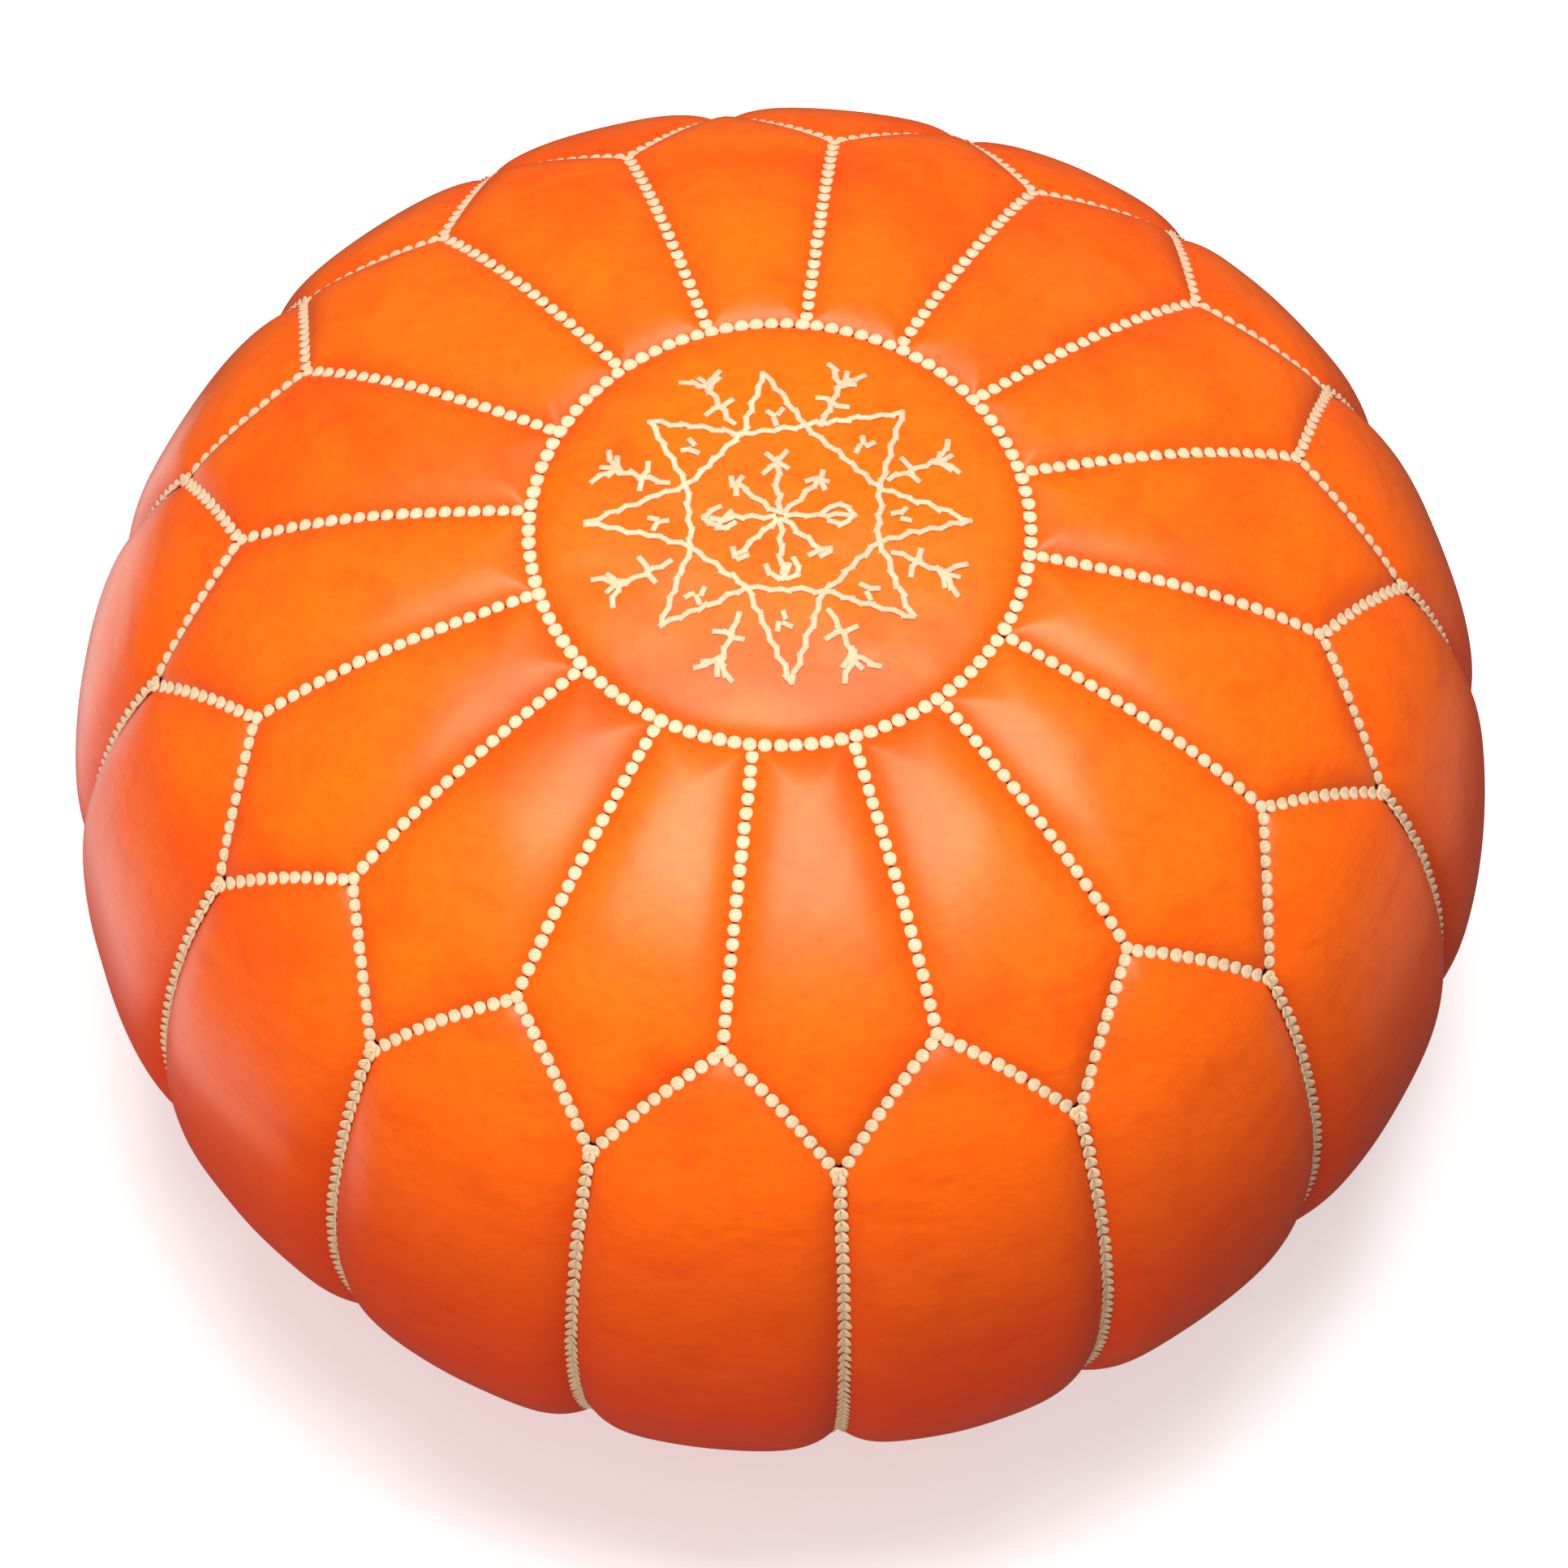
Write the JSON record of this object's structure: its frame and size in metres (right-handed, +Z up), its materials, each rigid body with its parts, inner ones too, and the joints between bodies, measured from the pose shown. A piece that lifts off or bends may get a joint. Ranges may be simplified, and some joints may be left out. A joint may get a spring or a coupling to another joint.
{
  "type": "moroccan leather pouf",
  "caption": "Round stuffed leather floor seat: embroidered medallion, ring of pointed petals, tall side panels and contrast-stitched seams, with a zip in the base.",
  "frame": {"origin": "middle of the base, on the floor", "axes": "+Z up; +X along the zip, towards its closed end; a radial seam of the top lies over +X"},
  "size_m": [0.5302, 0.5302, 0.3349],
  "materials": {
    "leather": "semi-gloss aniline leather",
    "thread": "thick waxed cotton thread",
    "lining": "plain woven cotton",
    "filling": "loose cotton wadding",
    "zip_tape": "woven tape",
    "zip_metal": "antique"
  },
  "bodies": {
    "cover": {"medallion": "leather", "petal_01": "leather", "petal_02": "leather", "petal_03": "leather", "petal_04": "leather", "petal_05": "leather", "petal_06": "leather", "petal_07": "leather", "petal_08": "leather", "petal_09": "leather", "petal_10": "leather", "petal_11": "leather", "petal_12": "leather", "petal_13": "leather", "petal_14": "leather", "petal_15": "leather", "petal_16": "leather", "side_panel_01": "leather", "side_panel_02": "leather", "side_panel_03": "leather", "side_panel_04": "leather", "side_panel_05": "leather", "side_panel_06": "leather", "side_panel_07": "leather", "side_panel_08": "leather", "side_panel_09": "leather", "side_panel_10": "leather", "side_panel_11": "leather", "side_panel_12": "leather", "side_panel_13": "leather", "side_panel_14": "leather", "side_panel_15": "leather", "side_panel_16": "leather", "base_half_left": "leather", "base_half_right": "leather", "inner_bag": "lining", "filling": "filling", "ring_stitching": "thread", "radial_stitching": "thread", "zigzag_stitching": "thread", "side_stitching": "thread", "base_stitching": "thread", "base_seam_stitching": "thread", "star_embroidery": "thread", "point_embroidery": "thread", "spoke_embroidery": "thread", "sprig_embroidery": "thread", "zip_tape_left": "zip_tape", "zip_tape_right": "zip_tape", "zip_teeth_left": "zip_metal", "zip_teeth_right": "zip_metal", "zip_top_stops": "zip_metal", "zip_bottom_stop": "zip_metal"},
    "slider": {"zip_slider": "zip_metal"},
    "pull_tab": {"zip_pull_tab": "zip_metal"}
  },
  "joints": [
    {"name": "zip_slide", "type": "slide", "parent": "cover", "child": "slider", "axis": [1, 0, 0], "range_m": [-0.156, 0], "deforming": ["zip_teeth_left", "zip_teeth_right"]},
    {"name": "pull_tab_swing", "type": "hinge", "parent": "slider", "child": "pull_tab", "pos_m": [0.0818, 0, 0.0125], "axis": [0, -1, 0], "range_deg": [0, 165]}
  ]
}
